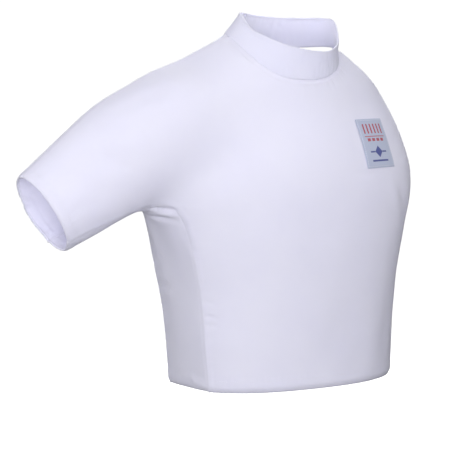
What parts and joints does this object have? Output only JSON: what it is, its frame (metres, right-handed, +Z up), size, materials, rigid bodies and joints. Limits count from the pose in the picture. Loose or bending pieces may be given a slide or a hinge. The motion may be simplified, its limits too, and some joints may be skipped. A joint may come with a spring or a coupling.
{
  "type": "one-sleeved fencing under-jacket (half jacket), filled out as worn",
  "caption": "White half jacket for fencing: standing collar, short right sleeve cut in one with the body, bare left shoulder, side panel under the arm and a strap across the open back.",
  "frame": {"origin": "middle of the neck at the level of the collar seam, where the wearer's shoulders carry the jacket", "axes": "+X to the wearer's left, +Y to the wearer's back, +Z up"},
  "size_m": [0.621, 0.2378, 0.5213],
  "materials": {
    "jacket_cloth": "smooth tight twill weave, faint satin sheen",
    "collar_cloth": "smooth tight twill weave, two layers",
    "strap_webbing": "flat ribbed elastic webbing",
    "label_cloth": "woven label, matte"
  },
  "bodies": {
    "root": {"front": "jacket_cloth", "back": "jacket_cloth", "side_panel": "jacket_cloth", "collar": "collar_cloth", "strap": "strap_webbing", "label": "label_cloth"}
  },
  "joints": []
}
